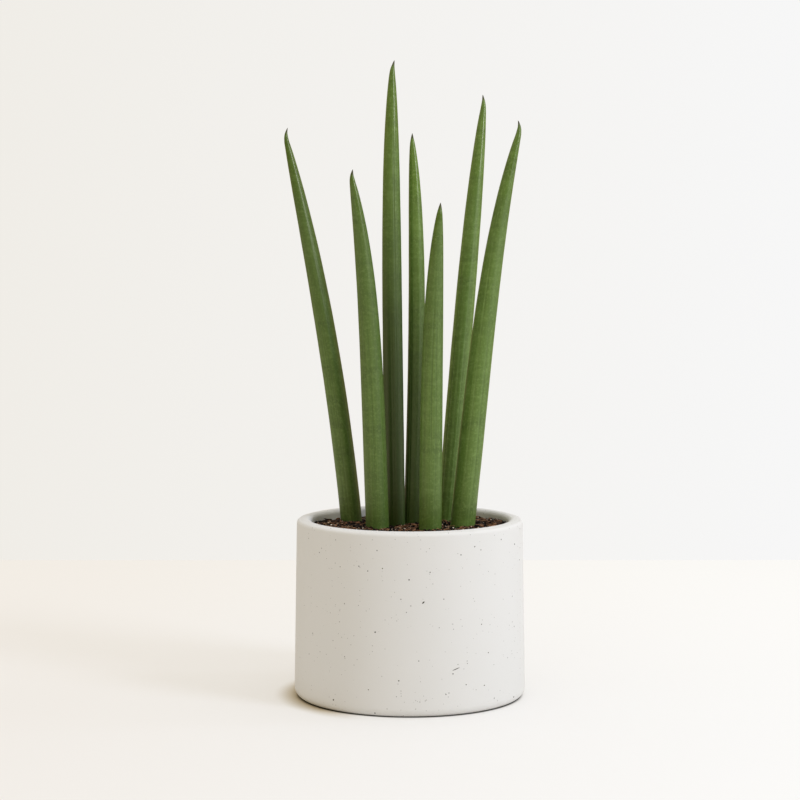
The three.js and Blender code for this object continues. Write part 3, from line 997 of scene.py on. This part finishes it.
class LeafSettings(bpy.types.PropertyGroup):
    """Sizes and colours of the leaves."""

    sides: whole_number("Sides", "Faces round a leaf", 120, 12)
    stations: whole_number("Stations", "Rings along a leaf", 130, 12)
    station_power: plain_number("Ring spread", "Above 1 sets the rings closer towards the tip", 1.35, min=1)
    point_length: length("Point length", "Length of the rounded end of the tip", 1.2 * MM)
    spike_length: length("Spike length", "Length of the part that narrows to a dry spike", 6 * MM)
    tip_length: length("Dry tip", "Length of the dark point", 3.2 * MM)
    groove_count: whole_number("Grooves", "Grooves round a leaf", 11)
    groove_depth: length("Groove depth", "Depth of the deepest groove", 0.22 * MM)
    groove_width: length("Groove width", "Half the width of a groove", 0.3 * MM)
    channel_depth: plain_number(
        "Channel depth", "Share of the radius, on the side that faces the clump", 0.06
    )
    channel_power: plain_number("Channel sharpness", "A greater value gives a narrower channel", 8)
    unevenness: plain_number("Unevenness", "Share of the radius by which a leaf swells and thins", 0.012)
    depth_above: bpy.props.FloatVectorProperty(
        name="Depth above", description="How deep each leaf's green is towards its tip",
        default=(0.48, 0.42, 0.24, 0.0, 0.36, 0.08, 0.2), size=7, min=0, max=1,
    )
    # Partly painted shade: the deeper green towards the feet, strongest on the third and fourth leaves inside
    # the clump
    depth_and_shade_below: bpy.props.FloatVectorProperty(
        name="Depth below", description="How deep each leaf's green is towards its foot",
        default=(0.32, 0.32, 0.88, 0.8, 0.22, 0.14, 0.1), size=7, min=0, max=1,
    )
    clump_middle: bpy.props.FloatVectorProperty(
        name="Clump middle", description="Where the leaves' channels face",
        default=(0, 4 * MM), size=2, unit="LENGTH",
    )
    skin: paint("Skin", "Colour of the lightest green", "#53722b")
    # Also the colour of the painted shade at the feet of the inner leaves
    deep: paint("Deep green", "Colour of the deepest green", "#1b3205")
    band: paint("Bands", "Colour of the bands across the leaf and of its grooves", "#2f4a14")
    pale: paint("Pale streaks", "Colour of the fine streaks and flecks", "#7e9b54")
    tip: paint("Dry tip", "Colour of the dry point", "#2a2c12")
    wax: paint("Wax", "Colour of the waxy bloom's sheen", "#fff4d8")


class StageSettings(bpy.types.PropertyGroup):
    """Floor, light and camera."""

    floor_reach: length("Floor reach", "Half the floor's size", 3.0)
    floor_back: length("Floor back", "How far behind the pot the floor ends", 476 * MM)
    floor: paint("Floor", "Colour of the floor", "#b6b8bc")
    # Colour of the painted soft shadow on the floor beside the pot
    floor_shade: paint("Floor in shade", "Colour of the floor in the pot's soft shadow", "#bcae92")
    glow_left: paint("Glow, left", "Colour of the floor's own light on the left", "#9e9689")
    glow_right: paint("Glow, right", "Colour of the floor's own light on the right", "#a6a49e")
    glow_far: plain_number("Far glow", "Strength of the glow at the back", 1.1)
    wall_left: paint("Wall, left", "Colour of the wall on the left", "#f0ede7")
    wall_right: paint("Wall, right", "Colour of the wall on the right", "#f7f7f7")
    room: paint("Room", "Colour of the light from all sides", "#ffe49c")
    room_level: plain_number("Room level", "Strength from all sides", 0.46, min=0)
    ceiling: paint("Ceiling", "Colour of the light from above", "#dfe9ff")
    ceiling_level: plain_number("Ceiling level", "Strength of the light from above", 1.46, min=0)
    window_place: position("Soft box", "Place of the soft box", (1.13, -0.75, 0.85))
    window_width: length("Soft box width", "Width of the soft box", 0.4)
    window_height: length("Soft box height", "Height of the soft box", 0.9)
    window_power: plain_number("Soft box power", "Power of the soft box", 10.6, unit="POWER")
    strip_place: position("Strip box", "Place of the narrow box at the side", (1.2, 0.15, 0.55))
    strip_width: length("Strip box width", "Width of the narrow box", 0.13)
    strip_height: length("Strip box height", "Height of the narrow box", 1.1)
    strip_power: plain_number("Strip box power", "Power of the narrow box", 1.6, unit="POWER")
    window_colour: paint("Soft box colour", "Colour of the soft box", "#e4eeff")
    lens: plain_number("Lens", "Focal length", 94.5, unit="CAMERA")
    camera_place: position("Camera", "Place of the camera", (-5.18 * MM, -1109.1 * MM, 238.5 * MM))
    camera_pitch: plain_number(
        "Camera pitch", "How far the camera looks down", math.radians(4.2), unit="ROTATION"
    )


# Operators

class SNAKEPLANT_OT_pot(bpy.types.Operator):
    """Turn the speckled stoneware pot"""

    bl_idname = "snakeplant.pot"
    bl_label = "Pot"

    def execute(self, context):
        build_pot(context.scene.snakeplant_pot)
        return {"FINISHED"}


class SNAKEPLANT_OT_soil(bpy.types.Operator):
    """Fill the pot with potting mix"""

    bl_idname = "snakeplant.soil"
    bl_label = "Soil"

    def execute(self, context):
        build_soil(context.scene.snakeplant_soil)
        return {"FINISHED"}


class SNAKEPLANT_OT_litter(bpy.types.Operator):
    """Scatter bark, fibres, crumbs and grit on the soil"""

    bl_idname = "snakeplant.litter"
    bl_label = "Bark, Fibres and Grit"

    def execute(self, context):
        build_litter(context.scene.snakeplant_soil)
        return {"FINISHED"}


class SNAKEPLANT_OT_rootstock(bpy.types.Operator):
    """Give the rootstock its corky skin"""

    bl_idname = "snakeplant.rootstock"
    bl_label = "Rootstock"

    def execute(self, context):
        build_rootstock(context.scene.snakeplant_root)
        return {"FINISHED"}


class SNAKEPLANT_OT_leaves(bpy.types.Operator):
    """Grow the seven leaves"""

    bl_idname = "snakeplant.leaves"
    bl_label = "Leaves"

    def execute(self, context):
        build_leaves(context.scene.snakeplant_leaf)
        return {"FINISHED"}


class SNAKEPLANT_OT_stage(bpy.types.Operator):
    """Set up the floor, the light and the camera"""

    bl_idname = "snakeplant.stage"
    bl_label = "Stage"

    def execute(self, context):
        build_stage(context.scene.snakeplant_stage)
        return {"FINISHED"}


class SNAKEPLANT_PT_sidebar(bpy.types.Panel):
    """Lists the settings and the steps"""

    bl_label = "Potted Snake Plant"
    bl_idname = "SNAKEPLANT_PT_sidebar"
    bl_space_type = "VIEW_3D"
    bl_region_type = "UI"
    bl_category = "Snake Plant"

    def draw(self, context):
        for step, group in STEPS.items():
            box = self.layout.box()
            box.operator(f"snakeplant.{step}")
            if group:
                settings = getattr(context.scene, group)
                for name in settings.__annotations__:
                    box.prop(settings, name)


# Each step in its order, with the settings that the sidebar shows under it
STEPS = {
    "stage": "snakeplant_stage",
    "pot": "snakeplant_pot",
    "soil": "snakeplant_soil",
    "litter": "",
    "rootstock": "snakeplant_root",
    "leaves": "snakeplant_leaf",
}

SETTINGS = {
    "snakeplant_pot": PotSettings,
    "snakeplant_soil": SoilSettings,
    "snakeplant_root": RootSettings,
    "snakeplant_leaf": LeafSettings,
    "snakeplant_stage": StageSettings,
}

CLASSES = (
    *SETTINGS.values(),
    SNAKEPLANT_OT_pot,
    SNAKEPLANT_OT_soil,
    SNAKEPLANT_OT_litter,
    SNAKEPLANT_OT_rootstock,
    SNAKEPLANT_OT_leaves,
    SNAKEPLANT_OT_stage,
    SNAKEPLANT_PT_sidebar,
)


def register():
    for cls in CLASSES:
        bpy.utils.register_class(cls)
    for name, group in SETTINGS.items():
        setattr(bpy.types.Scene, name, bpy.props.PointerProperty(type=group))


def unregister():
    for name in SETTINGS:
        delattr(bpy.types.Scene, name)
    for cls in reversed(CLASSES):
        bpy.utils.unregister_class(cls)


def main():
    """Build every piece."""
    register()
    for step in STEPS:
        getattr(bpy.ops.snakeplant, step)()


if __name__ == "__main__":
    main()
